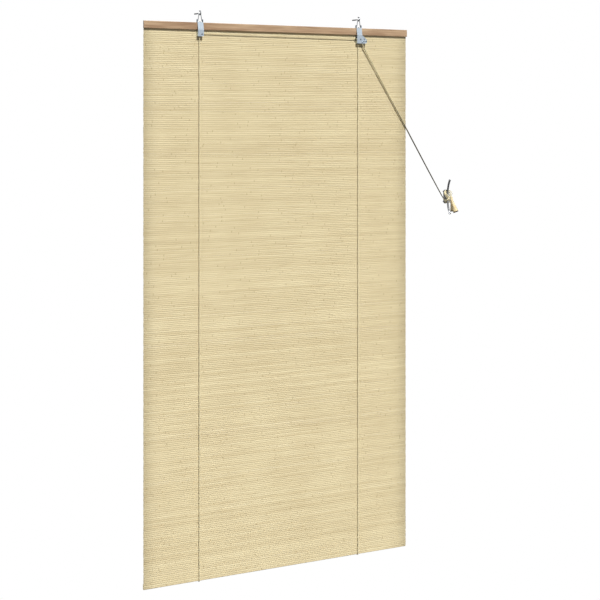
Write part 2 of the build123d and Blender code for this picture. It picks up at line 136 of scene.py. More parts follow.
# Plain white to the eye, softer where it lights, and darker low down in reflections
def makeSky():
    world = bpy.data.worlds.new("studio")
    bpy.context.scene.world = world
    world.use_nodes = True
    tree = world.node_tree
    tree.nodes.clear()
    ray = addNode(tree, "ShaderNodeLightPath")
    heading = addNode(tree, "ShaderNodeTexCoord")
    axes = addNode(tree, "ShaderNodeSeparateXYZ", {0: heading.outputs["Generated"]})
    light = addNode(tree, "ShaderNodeMapRange", {
        "Value": axes.outputs["Y"],
        "From Min": studio["skyTurn"][0],
        "From Max": studio["skyTurn"][1],
        "To Min": studio["frontSky"],
        "To Max": studio["backSky"],
    })
    height = addNode(tree, "ShaderNodeMapRange", {
        "Value": axes.outputs["Z"],
        "From Min": studio["heightTurn"][0],
        "From Max": studio["heightTurn"][1],
        "To Min": studio["lowGloss"],
        "To Max": studio["highGloss"],
    })
    behind = addNode(tree, "ShaderNodeMapRange", {
        "Value": axes.outputs["Y"],
        "From Min": studio["wallTurn"][0],
        "From Max": studio["wallTurn"][1],
        "To Min": 1.0,
        "To Max": studio["backGloss"],
    })
    gloss = addNode(tree, "ShaderNodeMath", {0: height.outputs[0], 1: behind.outputs[0]},
                    operation="MULTIPLY")
    indirect = addNode(tree, "ShaderNodeMix", {
        0: ray.outputs["Is Diffuse Ray"],
        2: gloss.outputs[0],
        3: light.outputs[0],
    }, data_type="FLOAT")
    strength = addNode(tree, "ShaderNodeMix", {
        0: ray.outputs["Is Camera Ray"],
        2: indirect.outputs[0],
        3: studio["backdrop"],
    }, data_type="FLOAT")
    sky = addNode(tree, "ShaderNodeBackground", {
        "Color": colour("#FFFFFF"), "Strength": strength.outputs[0],
    })
    addNode(tree, "ShaderNodeOutputWorld", {"Surface": sky.outputs[0]})


# White like the sky, and it throws little light up
def makeFloor():
    half = studio["floorSize"] / 2
    low = cadBox[0][2] - studio["floorDrop"]
    mesh = bpy.data.meshes.new("floor")
    corners = [(-half, -half, low), (half, -half, low), (half, half, low), (-half, half, low)]
    mesh.from_pydata(corners, [], [(0, 1, 2, 3)])
    white = bpy.data.materials.new("floorWhite")
    white.use_nodes = True
    tree = white.node_tree
    tree.nodes.clear()
    ray = addNode(tree, "ShaderNodeLightPath")
    bright = addNode(tree, "ShaderNodeEmission", {"Strength": studio["backdrop"]})
    dim = addNode(tree, "ShaderNodeBsdfDiffuse", {"Color": (*[studio["floorBounce"]] * 3, 1.0)})
    both = addNode(tree, "ShaderNodeMixShader", {
        0: ray.outputs["Is Camera Ray"],
        1: dim.outputs[0],
        2: bright.outputs[0],
    })
    addNode(tree, "ShaderNodeOutputMaterial", {"Surface": both.outputs[0]})
    mesh.materials.append(white)
    addObject("floor", mesh)


makeCamera()
makeSun()
makeSky()
makeFloor()
print("camera, light and floor set")


# Materials

# Nearly all of a noise texture's values lie between these two.
noiseLow, noiseHigh = 0.3, 0.7


# A named material, its tree, its shader and the Object coordinates. What is even all over goes on the
# shader's own sockets. A colour mix takes its share at input 0 and its two colours at 6 and 7.
def startMaterial(name, evenValues):
    material = bpy.data.materials.new(name)
    material.use_nodes = True
    tree = material.node_tree
    shader = tree.nodes["Principled BSDF"]
    for socket, value in evenValues.items():
        shader.inputs[socket].default_value = value
    place = addNode(tree, "ShaderNodeTexCoord").outputs["Object"]
    return material, tree, shader, place


bambooLook = dict(
    darkStraw="#C3B189",
    paleStraw="#E0D3AC",
    ringBrown="#8E7444",
    sawnBrownAndShade="#6B5A38",
    dashSize=(70 * mm, 4.5 * mm),  # along a strip and up it
    fibreSize=(25 * mm, 1.2 * mm),
    driftsPerMetre=7.0,  # broad drifts of tone over the mat, a hand wide
    dashShare=0.6,
    toneShare=0.22,
    driftShare=0.25,
    fibreShare=0.15,
    toneRange=(0.25, 0.95),
    patternStep=53.0,  # moves each strip's pattern by its own tone, so that no two are alike
    ringSpacing=310 * mm,
    ringLength=3.72 * mm,
    ringShare=0.55,
    sawnAndShadeFrom=0.45,  # of the way from a strip's middle to its edge
    sawnAndShadeShare=0.12,
)


# Split bamboo, dried and bleached: matt straw-coloured strips with long fibres, each of its own tone,
# with paler and darker dashes along it, and a thin dark ring where the cane had a joint.
def splitBamboo():
    s = bambooLook
    material, tree, shader, place = startMaterial("splitBamboo", {
        "Roughness": 0.6,
        "Specular IOR Level": 0.35,
    })
    tone = addNode(tree, "ShaderNodeAttribute", attribute_name="stripTone").outputs["Fac"]
    step = addNode(tree, "ShaderNodeMath", {0: tone, 1: s["patternStep"]}, operation="MULTIPLY").outputs[0]
    axes = addNode(tree, "ShaderNodeSeparateXYZ", {0: place})
    along = addNode(tree, "ShaderNodeMath", {0: axes.outputs["X"], 1: step}, operation="ADD").outputs[0]
    stripPlace = addNode(tree, "ShaderNodeCombineXYZ", {0: along, 1: step, 2: axes.outputs["Z"]}).outputs[0]
    patterns = []
    for (length, height), detail in ((s["dashSize"], 2.0), (s["fibreSize"], 3.0)):
        scaled = addNode(tree, "ShaderNodeMapping", {0: stripPlace, "Scale": (1 / length, 1.0, 1 / height)})
        noise = addNode(tree, "ShaderNodeTexNoise", {0: scaled.outputs[0], "Scale": 1.0, "Detail": detail})
        patterns.append(noise.outputs[0])
    dash, fibre = patterns
    drift = addNode(tree, "ShaderNodeTexNoise", {0: place, "Scale": s["driftsPerMetre"], "Detail": 1.0})
    total = 0.0
    for part, share in (
        (dash, s["dashShare"]),
        (tone, s["toneShare"]),
        (drift.outputs[0], s["driftShare"]),
        (fibre, s["fibreShare"]),
    ):
        total = addNode(tree, "ShaderNodeMath", {0: part, 1: share, 2: total},
                        operation="MULTIPLY_ADD").outputs[0]
    paleness = addNode(tree, "ShaderNodeMapRange", {
        "Value": total,
        "From Min": s["toneRange"][0],
        "From Max": s["toneRange"][1],
    })
    straw = addNode(tree, "ShaderNodeMix", {
        0: paleness.outputs[0],
        6: colour(s["darkStraw"]),
        7: colour(s["paleStraw"]),
    }, data_type="RGBA")
    cycles = addNode(tree, "ShaderNodeMath", {0: along, 1: 1 / s["ringSpacing"]}, operation="MULTIPLY")
    phase = addNode(tree, "ShaderNodeMath", {0: cycles.outputs[0]}, operation="FRACT")
    ring = addNode(tree, "ShaderNodeMapRange", {
        "Value": phase.outputs[0],
        "From Min": 0.0,
        "From Max": s["ringLength"] / s["ringSpacing"],
        "To Min": s["ringShare"],
        "To Max": 0.0,
    })
    skin = addNode(tree, "ShaderNodeMix", {
        0: ring.outputs[0],
        6: straw.outputs[2],
        7: colour(s["ringBrown"]),
    }, data_type="RGBA")
    # Each strip's sawn edges are brown. Painted shade darkens them further, where the neighbouring strips
    # would shade them.
    edge = addNode(tree, "ShaderNodeAttribute", attribute_name="stripEdge").outputs["Fac"]
    shade = addNode(tree, "ShaderNodeMapRange", {
        "Value": edge,
        "From Min": s["sawnAndShadeFrom"],
        "From Max": 1.0,
        "To Min": 0.0,
        "To Max": s["sawnAndShadeShare"],
    })
    sawnAndShaded = addNode(tree, "ShaderNodeMix", {
        0: shade.outputs[0],
        6: skin.outputs[2],
        7: colour(s["sawnBrownAndShade"]),
    }, data_type="RGBA")
    tree.links.new(sawnAndShaded.outputs[2], shader.inputs["Base Color"])
    relief = addNode(tree, "ShaderNodeBump", {"Height": fibre, "Distance": 0.1 * mm, "Strength": 0.8})
    tree.links.new(relief.outputs[0], shader.inputs["Normal"])
    return material


cottonLook = dict(dark="#CFC094", pale="#E9DFC0", fluffPerMetre=900.0)  # about 1 mm


# Cotton warp thread, pale and matt
def warpCotton():
    s = cottonLook
    material, tree, shader, place = startMaterial("warpCotton", {"Roughness": 0.9})
    fluff = addNode(tree, "ShaderNodeTexNoise", {0: place, "Scale": s["fluffPerMetre"], "Detail": 1.0})
    tint = addNode(tree, "ShaderNodeMix", {
        0: fluff.outputs[0],
        6: colour(s["dark"]),
        7: colour(s["pale"]),
    }, data_type="RGBA")
    tree.links.new(tint.outputs[2], shader.inputs["Base Color"])
    return material


stainLook = dict(
    dark="#8C6D52",
    pale="#BDA181",
    bandsPerMetre=(5.0, 60.0, 60.0),  # they wander over a hand's length
    grainPerMetre=(14.0, 420.0, 420.0),  # growth lines about 2 mm apart
    bandShare=0.7,
    grainShare=0.55,
    toneRange=(0.48, 0.76),
    roughness=(0.42, 0.58),
)


# Planed softwood under a thin reddish stain, satin: long grain lines along the batten
def stainedWood():
    s = stainLook
    material, tree, shader, place = startMaterial("stainedWood", {"Specular IOR Level": 0.4})
    broad = addNode(tree, "ShaderNodeMapping", {0: place, "Scale": s["bandsPerMetre"]})
    bands = addNode(tree, "ShaderNodeTexNoise", {0: broad.outputs[0], "Scale": 1.0, "Detail": 2.0})
    fine = addNode(tree, "ShaderNodeMapping", {0: place, "Scale": s["grainPerMetre"]})
    grain = addNode(tree, "ShaderNodeTexNoise", {
        0: fine.outputs[0], "Scale": 1.0, "Detail": 4.0, "Roughness": 0.6,
    })
    lines = addNode(tree, "ShaderNodeMath", {0: grain.outputs[0], 1: s["grainShare"]}, operation="MULTIPLY")
    both = addNode(tree, "ShaderNodeMath", {
        0: bands.outputs[0], 1: s["bandShare"], 2: lines.outputs[0],
    }, operation="MULTIPLY_ADD")
    paleness = addNode(tree, "ShaderNodeMapRange", {
        "Value": both.outputs[0],
        "From Min": s["toneRange"][0],
        "From Max": s["toneRange"][1],
    })
    tint = addNode(tree, "ShaderNodeMix", {
        0: paleness.outputs[0],
        6: colour(s["dark"]),
        7: colour(s["pale"]),
    }, data_type="RGBA")
    tree.links.new(tint.outputs[2], shader.inputs["Base Color"])
    gloss = addNode(tree, "ShaderNodeMapRange", {
        "Value": grain.outputs[0],
        "From Min": noiseLow,
        "From Max": noiseHigh,
        "To Min": s["roughness"][0],
        "To Max": s["roughness"][1],
    })
    tree.links.new(gloss.outputs[0], shader.inputs["Roughness"])
    relief = addNode(tree, "ShaderNodeBump", {
        "Height": grain.outputs[0], "Distance": 0.1 * mm, "Strength": 0.6,
    })
    tree.links.new(relief.outputs[0], shader.inputs["Normal"])
    return material


zincLook = dict(
    dark="#A3B0BC",
    pale="#CBD6DF",
    cloudsPerMetre=260.0,  # about 4 mm each
    roughness=(0.27, 0.36),
    scratchesPerMetre=(4000.0, 4000.0, 250.0),  # 0.25 mm wide and 4 mm long
)


# Pressed sheet steel with a blue-white zinc plating, slightly cloudy, with fine rolling scratches
def zincSheet():
    s = zincLook
    material, tree, shader, place = startMaterial("zincSheet", {"Metallic": 1.0})
    cloud = addNode(tree, "ShaderNodeTexNoise", {0: place, "Scale": s["cloudsPerMetre"], "Detail": 2.0})
    tint = addNode(tree, "ShaderNodeMix", {
        0: cloud.outputs[0],
        6: colour(s["dark"]),
        7: colour(s["pale"]),
    }, data_type="RGBA")
    tree.links.new(tint.outputs[2], shader.inputs["Base Color"])
    gloss = addNode(tree, "ShaderNodeMapRange", {
        "Value": cloud.outputs[0],
        "From Min": noiseLow,
        "From Max": noiseHigh,
        "To Min": s["roughness"][0],
        "To Max": s["roughness"][1],
    })
    tree.links.new(gloss.outputs[0], shader.inputs["Roughness"])
    lines = addNode(tree, "ShaderNodeMapping", {0: place, "Scale": s["scratchesPerMetre"]})
    scratch = addNode(tree, "ShaderNodeTexNoise", {0: lines.outputs[0], "Scale": 1.0, "Detail": 1.0})
    relief = addNode(tree, "ShaderNodeBump", {
        "Height": scratch.outputs[0], "Distance": 0.02 * mm, "Strength": 0.4,
    })
    tree.links.new(relief.outputs[0], shader.inputs["Normal"])
    return material


nickelLook = dict(cloudsPerMetre=420.0, roughness=(0.2, 0.34))  # about 2.4 mm each


# Drawn steel wire with a bright nickel plating, darker where it has dulled
def nickelWire(name, dull, bright):
    s = nickelLook
    material, tree, shader, place = startMaterial(name, {"Metallic": 1.0})
    cloud = addNode(tree, "ShaderNodeTexNoise", {0: place, "Scale": s["cloudsPerMetre"], "Detail": 3.0})
    tint = addNode(tree, "ShaderNodeMix", {
        0: cloud.outputs[0],
        6: colour(dull),
        7: colour(bright),
    }, data_type="RGBA")
    tree.links.new(tint.outputs[2], shader.inputs["Base Color"])
    gloss = addNode(tree, "ShaderNodeMapRange", {
        "Value": cloud.outputs[0],
        "From Min": noiseLow,
        "From Max": noiseHigh,
        "To Min": s["roughness"][0],
        "To Max": s["roughness"][1],
    })
    tree.links.new(gloss.outputs[0], shader.inputs["Roughness"])
    relief = addNode(tree, "ShaderNodeBump", {
        "Height": cloud.outputs[0], "Distance": 0.02 * mm, "Strength": 0.3,
    })
    tree.links.new(relief.outputs[0], shader.inputs["Normal"])
    return material


acetalLook = dict(dark="#1C1D1E", pale="#2A2B2D", specksPerMetre=1500.0)  # under 1 mm each


# Injection moulded acetal, black with a faint sheen
def blackAcetal():
    s = acetalLook
    material, tree, shader, place = startMaterial("blackAcetal", {"IOR": 1.48, "Roughness": 0.38})
    skin = addNode(tree, "ShaderNodeTexNoise", {0: place, "Scale": s["specksPerMetre"], "Detail": 2.0})
    tint = addNode(tree, "ShaderNodeMix", {
        0: skin.outputs[0],
        6: colour(s["dark"]),
        7: colour(s["pale"]),
    }, data_type="RGBA")
    tree.links.new(tint.outputs[2], shader.inputs["Base Color"])
    relief = addNode(tree, "ShaderNodeBump", {
        "Height": skin.outputs[0], "Distance": 0.02 * mm, "Strength": 0.3,
    })
    tree.links.new(relief.outputs[0], shader.inputs["Normal"])
    return material


brassLook = dict(wearAndShade="#A97F38", bright="#D9B56A", wearPerMetre=700.0, roughness=(0.22, 0.4))


# Turned brass, yellow, polished on the knurl's crests by the cords
def turnedBrass():
    s = brassLook
    material, tree, shader, place = startMaterial("turnedBrass", {"Metallic": 1.0})
    wear = addNode(tree, "ShaderNodeTexNoise", {0: place, "Scale": s["wearPerMetre"], "Detail": 2.0})
    tint = addNode(tree, "ShaderNodeMix", {
        0: wear.outputs[0],
        6: colour(s["wearAndShade"]),
        7: colour(s["bright"]),
    }, data_type="RGBA")
    tree.links.new(tint.outputs[2], shader.inputs["Base Color"])
    gloss = addNode(tree, "ShaderNodeMapRange", {
        "Value": wear.outputs[0],
        "From Min": noiseLow,
        "From Max": noiseHigh,
        "To Min": s["roughness"][0],
        "To Max": s["roughness"][1],
    })
    tree.links.new(gloss.outputs[0], shader.inputs["Roughness"])
    return material


braidLook = dict(
    seam="#B3A678",
    strand="#F4EAC6",
    paintedShade="#3F3A24",
    strandsRound=4.0,
    seamWidth=0.10,
    # Painted shade darkens the stretch between the blind and the cleat. Each end fades over a length of X.
    shadeStart=(0.40, 0.46),
    shadeEnd=(0.588, 0.598),
    shadeShare=0.92,
)


# Braided polyester cord: two sets of crossing strands that stand up between dark seams
def braidedCord():
    s = braidLook
    material, tree, shader, place = startMaterial("braidedCord", {"Roughness": 0.78, "Sheen Weight": 0.25})
    # The cord's own map runs in turns of the braid: along it in U, round it in V.
    chart = addNode(tree, "ShaderNodeUVMap", uv_map="braidMap")
    axes = addNode(tree, "ShaderNodeSeparateXYZ", {0: chart.outputs[0]})
    leaning = []
    for side in (1.0, -1.0):
        slant = addNode(tree, "ShaderNodeMath", {
            0: axes.outputs["Y"], 1: s["strandsRound"] * side, 2: axes.outputs["X"],
        }, operation="MULTIPLY_ADD")
        strand = addNode(tree, "ShaderNodeMath", {0: slant.outputs[0], 1: 0.5}, operation="PINGPONG")
        leaning.append(strand.outputs[0])
    crest = addNode(tree, "ShaderNodeMath", {0: leaning[0], 1: leaning[1]}, operation="MULTIPLY")
    height = addNode(tree, "ShaderNodeMapRange", {
        "Value": crest.outputs[0],
        "From Min": 0.0,
        "From Max": s["seamWidth"],
    })
    tint = addNode(tree, "ShaderNodeMix", {
        0: height.outputs[0],
        6: colour(s["seam"]),
        7: colour(s["strand"]),
    }, data_type="RGBA")
    # Painted shade: the cord's colour turns dark along X between the blind and the cleat
    where = addNode(tree, "ShaderNodeSeparateXYZ", {0: place})
    ends = []
    for (begin, end), (before, after) in (
        (s["shadeStart"], (0.0, s["shadeShare"])),
        (s["shadeEnd"], (1.0, 0.0)),
    ):
        fade = addNode(tree, "ShaderNodeMapRange", {
            "Value": where.outputs["X"],
            "From Min": begin,
            "From Max": end,
            "To Min": before,
            "To Max": after,
        })
        ends.append(fade.outputs[0])
    shadeMask = addNode(tree, "ShaderNodeMath", {0: ends[0], 1: ends[1]}, operation="MULTIPLY")
    wearAndShade = addNode(tree, "ShaderNodeMix", {
        0: shadeMask.outputs[0],
        6: tint.outputs[2],
        7: colour(s["paintedShade"]),
    }, data_type="RGBA")
    tree.links.new(wearAndShade.outputs[2], shader.inputs["Base Color"])
    relief = addNode(tree, "ShaderNodeBump", {
        "Height": height.outputs[0], "Distance": 0.2 * mm, "Strength": 0.8,
    })
    tree.links.new(relief.outputs[0], shader.inputs["Normal"])
    return material


beechLook = dict(
    fleck="#C9AE78",
    cream="#EBDDB4",
    flecksPerMetre=(700.0, 700.0, 90.0),  # 1.4 mm wide and 11 mm long
    fleckRange=(0.35, 0.62),
)


# Lacquered beech, turned: pale cream with short brown flecks along the grain
def lacqueredBeech():
    s = beechLook
    material, tree, shader, place = startMaterial("lacqueredBeech", {
        "Roughness": 0.32,
        "Coat Weight": 0.3,
        "Coat Roughness": 0.15,
    })
    lines = addNode(tree, "ShaderNodeMapping", {0: place, "Scale": s["flecksPerMetre"]})
    grain = addNode(tree, "ShaderNodeTexNoise", {0: lines.outputs[0], "Scale": 1.0, "Detail": 3.0})
    paleness = addNode(tree, "ShaderNodeMapRange", {
        "Value": grain.outputs[0],
        "From Min": s["fleckRange"][0],
        "From Max": s["fleckRange"][1],
    })
    tint = addNode(tree, "ShaderNodeMix", {
        0: paleness.outputs[0],
        6: colour(s["fleck"]),
        7: colour(s["cream"]),
    }, data_type="RGBA")
    tree.links.new(tint.outputs[2], shader.inputs["Base Color"])
    return material


walnutLook = dict(dark="#2A1F14", pale="#4C3B2A", grainPerMetre=(500.0, 500.0, 120.0))  # 2 by 8 mm


# The tassels' end discs: the same wood under a dark walnut stain
def walnutDisc():
    s = walnutLook
    material, tree, shader, place = startMaterial("walnutDisc", {"Roughness": 0.45})
    lines = addNode(tree, "ShaderNodeMapping", {0: place, "Scale": s["grainPerMetre"]})
    grain = addNode(tree, "ShaderNodeTexNoise", {0: lines.outputs[0], "Scale": 1.0, "Detail": 3.0})
    tint = addNode(tree, "ShaderNodeMix", {
        0: grain.outputs[0],
        6: colour(s["dark"]),
        7: colour(s["pale"]),
    }, data_type="RGBA")
    tree.links.new(tint.outputs[2], shader.inputs["Base Color"])
    return material


bamboo = splitBamboo()
cotton = warpCotton()
wood = stainedWood()
zinc = zincSheet()
wireSteel = nickelWire("nickelWire", "#6E7276", "#A4A8AC")
screwSteel = nickelWire("screwSteel", "#8A8E92", "#C2C6CA")
rivetSteel = nickelWire("rivetSteel", "#4A525C", "#767F8A")
cleatSteel = nickelWire("cleatSteel", "#77797C", "#A9ABAE")
acetal = blackAcetal()
brass = turnedBrass()
cordBraid = braidedCord()
beech = lacqueredBeech()
walnut = walnutDisc()

cadFinishes = {
    "head_batten": wood,
    "bottom_slat": bamboo,
    "batten_staples": screwSteel,
    "left_bracket": zinc,
    "lock_housing": zinc,
    "inlet_bush": acetal,
    "bracket_screws": screwSteel,
    "left_pulley": acetal,
    "right_pulley": acetal,
    "left_axle": rivetSteel,
    "right_axle": rivetSteel,
    "guide_rivets": rivetSteel,
    "lock_pin": rivetSteel,
    "lock_roller": brass,
    "left_bail": wireSteel,
    "right_bail": wireSteel,
    "left_wall_hook": wireSteel,
    "right_wall_hook": wireSteel,
    "tassel_knots": cordBraid,
    "cord_cleat": cleatSteel,
    "cleat_screws": screwSteel,
    "left_tassel": beech,
    "right_tassel": beech,
    "left_tassel_cap": walnut,
    "right_tassel_cap": walnut,
}
for nodeName, finish in cadFinishes.items():
    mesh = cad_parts[nodeName].data
    mesh.materials.clear()
    mesh.materials.append(finish)
print("materials on", len(cadFinishes), "nodes")


# Cords

cordSizes = dict(
    radius=1.0 * mm,
    sides=10,
    braidPitch=2.4 * mm,  # along the cord from one strand of the braid to the next
    curveSteps=12,  # points of the smooth line for each control point
)

# Corners from the knot behind each bracket to the cleat, in millimetres. A point stands 12 mm from each
# pulley, guide or edge on the long runs.
leftRoute = [
    (-274.1, -4.6, -44.6),
    (-274.1, -4.6, -1615.3),
    (-274.1, -4.6, -1627.3),
    (-274.1, -17.4, -1627.3),
    (-274.1, -17.4, -1615.3),
    (-274.1, -17.4, -66.4),
    (-274.1, -17.4, -54.4),
    (-262.1, -17.4, -54.4),
    (265.5, -18.9, -54.4),
    (277.5, -18.95, -54.4),
    (281.0, -18.95, -59.0),
    (279.3, -18.95, -68.1),
    (285.8, -18.9, -78.2),
    (593.6, -13.8, -555.2),
]
rightRoute = [
    (269.9, -4.6, -44.6),
    (269.9, -4.6, -1615.3),
    (269.9, -4.6, -1627.3),
    (269.9, -15.85, -1627.3),
    (269.9, -15.85, -1615.3),
    (269.9, -15.85, -68.2),
    (269.9, -15.85, -56.2),
    (275.8, -15.85, -53.5),
    (280.8, -15.85, -57.8),
    (279.3, -15.85, -68.1),
    (285.8, -15.8, -78.2),
    (591.6, -12.2, -554.7),
]
# From the cleat to the neck of each tassel, and down its bore
leftTail = [
    (612.6, -24.4, -535.0),
    (611.6, -25.8, -547.4),
    (613.0, -26.7, -552.1),
    (614.7, -27.8, -557.8),
]
rightTail = [
    (625.2, -16.5, -534.8),
    (620.9, -16.0, -543.0),
    (621.65, -16.0, -548.0),
    (622.56, -16.0, -553.9),
]

# Both cords go round the cleat together in eights, side by side, all in millimetres. The turn is counted
# in half turns: whole numbers are behind a horn, the lower one at 1 and 3, and halves are the crossings in
# front. Each half turn lies wider than the last one and reaches further up or down.
hitchSizes = dict(
    middle=(608.5, -546.5),
    behind=-7.0,
    rising=-19.5,  # in front, on the way up
    falling=-21.6,  # in front, on the way down, over the others
    crossingShift={2: -4.3, 3: -7.6, 4: 1.6},  # sets the crossings side by side
    halfWidth=7.05,
    sideGrowth=1.13,
    reach=12.5,
    reachGrowth=2.27,
    spread=1.78,  # from the pair's middle line to each cord
    pairStep=2.6,  # the second cord's extra reach
    firstTurn=0.83,
    lastTurn=(4.3, 4.25),  # of each cord
    stepsPerTurn=8,
)


# Points of one cord's eights on the cleat. The lane is 0 for the left cord and 1 for the right one.
def hitchTurns(lane):
    s = hitchSizes
    turns = s["lastTurn"][lane] - s["firstTurn"]
    count = round(turns * s["stepsPerTurn"])
    points = []
    for step in range(count + 1):
        turn = s["firstTurn"] + turns * step / count
        angle = turn * math.pi
        half = math.floor(turn)
        front = s["rising"] if half % 2 else s["falling"]
        middle = (front + s["behind"]) / 2
        depth = (s["behind"] - front) / 2
        reach = s["reach"] + s["reachGrowth"] * (turn - 1) + lane * s["pairStep"]
        width = s["halfWidth"] + s["sideGrowth"] * (turn - 1)
        shift = s["crossingShift"].get(half, 0.0)
        points.append((
            s["middle"][0] + width * math.sin(2 * angle) + (lane - 0.5) * 2 * s["spread"],
            middle + depth * math.cos(2 * angle),
            s["middle"][1] + reach * math.cos(angle) + shift * math.sin(angle) ** 2,
        ))
    return points


# The smooth line through a route's control points, read from a NURBS spline with no bevel
def smoothLine(name, route):
    data = bpy.data.curves.new(name, "CURVE")
    data.dimensions = "3D"
    data.resolution_u = cordSizes["curveSteps"]
    spline = data.splines.new("NURBS")
    spline.points.add(len(route) - 1)
    for point, corner in zip(spline.points, route):
        point.co = (*[v * mm for v in corner], 1.0)
    spline.order_u = 3
    spline.use_endpoint_u = True
    carrier = addObject(name, data)
    line = bpy.data.meshes.new_from_object(carrier.evaluated_get(bpy.context.evaluated_depsgraph_get()))
    points = [v.co.copy() for v in line.vertices]
    bpy.data.objects.remove(carrier)
    bpy.data.curves.remove(data)
    bpy.data.meshes.remove(line)
    return points


# A round closed tube of braid along points. Its map runs in turns of the braid, along it and round it.
def tubeMesh(name, points, radius):
    sides = cordSizes["sides"]
    vertices, faces, chart = [], [], []
    heading = (points[1] - points[0]).normalized()
    side = heading.orthogonal().normalized()
    travelled = 0.0
    for index, point in enumerate(points):
        before = points[max(index - 1, 0)]
        after = points[min(index + 1, len(points) - 1)]
        turned = (after - before).normalized()
        side = heading.rotation_difference(turned) @ side
        side = (side - turned * side.dot(turned)).normalized()
        heading = turned
        other = heading.cross(side)
        travelled += (point - before).length
        for corner in range(sides):
            angle = 2 * math.pi * corner / sides
            vertices.append(point + radius * (math.cos(angle) * side + math.sin(angle) * other))
        chart.append(travelled / cordSizes["braidPitch"])
    for ring in range(len(points) - 1):
        for corner in range(sides):
            following = (corner + 1) % sides
            faces.append((ring * sides + corner, ring * sides + following,
                          (ring + 1) * sides + following, (ring + 1) * sides + corner))
    last = (len(points) - 1) * sides
    faces.append(tuple(reversed(range(sides))))
    faces.append(tuple(range(last, last + sides)))
    mesh = bpy.data.meshes.new(name)
    mesh.from_pydata(vertices, [], faces)
    layer = mesh.uv_layers.new(name="braidMap")
    for face in mesh.polygons:
        lastStrip = face.index % sides == sides - 1
        for loop, vertex in zip(face.loop_indices, face.vertices):
            ring, corner = divmod(vertex, sides)
            wrapped = sides if corner == 0 and lastStrip else corner
            layer.data[loop].uv = (chart[ring], wrapped / sides)
    # The sides are smooth and the two flat ends aren't.
    mesh.polygons.foreach_set("use_smooth", [len(face.vertices) == 4 for face in mesh.polygons])
    mesh.materials.append(cordBraid)
    return mesh


def makeCord(name, lane, route, tail, replaced):
    points = smoothLine(name, route + hitchTurns(lane) + tail)
    cord = addObject(name, tubeMesh(name, points, cordSizes["radius"]))
    length = sum((b - a).length for a, b in zip(points, points[1:]))
    print(name, "is", round(length, 3), "m long")
    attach(cord, rootBody)
    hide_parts(*replaced)
    return cord, points


leftCord, leftLine = makeCord(
    "leftCord", 0, leftRoute, leftTail, ["left_cord", "left_tail", "cord_hitch"])
rightCord, rightLine = makeCord(
    "rightCord", 1, rightRoute, rightTail, ["right_cord", "right_tail", "cord_hitch"])
print("cords made")


# Mat

matSizes = dict(
    stripPitch=5.4 * mm,
    stripHeight=5.5 * mm,
    stripThickness=1.25 * mm,
    stripSides=12,
    stripSquareness=0.5,  # 1 leaves the section oval, less flattens its faces
    stripSpans=16,
    leastScale=(0.9992, 0.9, 0.96),  # of the strips' length, thickness and height
    mostScale=(1.0, 1.08, 1.02),
    endTrim=0.4 * mm,  # how far a strip may slip sideways
    bow=0.10 * mm,
    bowsPerMetre=5.0,
    bowGap=97.0,  # between two strips' bows in the noise they are read from
    bowShares=(0.0, 1.0, 2.0),  # along, into the wall, up
    toneSeedStep=5.0,
    threadRadius=0.19 * mm,
    threadSides=4,
    threadColumns=12,
    threadInset=32 * mm,
    seed=11,
)


# Turns a node tree's result into a plain mesh object
def growMesh(name, tree, values):
    carrier = addObject(name, bpy.data.meshes.new(name + "Seed"))
    modifier = carrier.modifiers.new("build", "NODES")
    modifier.node_group = tree
    for item in tree.interface.items_tree:
        if item.in_out == "INPUT" and item.name in values:
            modifier[item.identifier] = values[item.name]
    mesh = bpy.data.meshes.new_from_object(carrier.evaluated_get(bpy.context.evaluated_depsgraph_get()))
    mesh.name = name
    carrier.modifiers.remove(modifier)
    carrier.data = mesh
    print(name, "has", len(mesh.polygons), "faces")
    return carrier


# A tree with named inputs, its input node and a place for its result
def startTree(name, inputs):
    tree = bpy.data.node_groups.new(name, "GeometryNodeTree")
    tree.interface.new_socket("Geometry", in_out="OUTPUT", socket_type="NodeSocketGeometry")
    for label, kind in inputs.items():
        tree.interface.new_socket(label, in_out="INPUT", socket_type="NodeSocket" + kind)
    return tree, addNode(tree, "NodeGroupInput").outputs


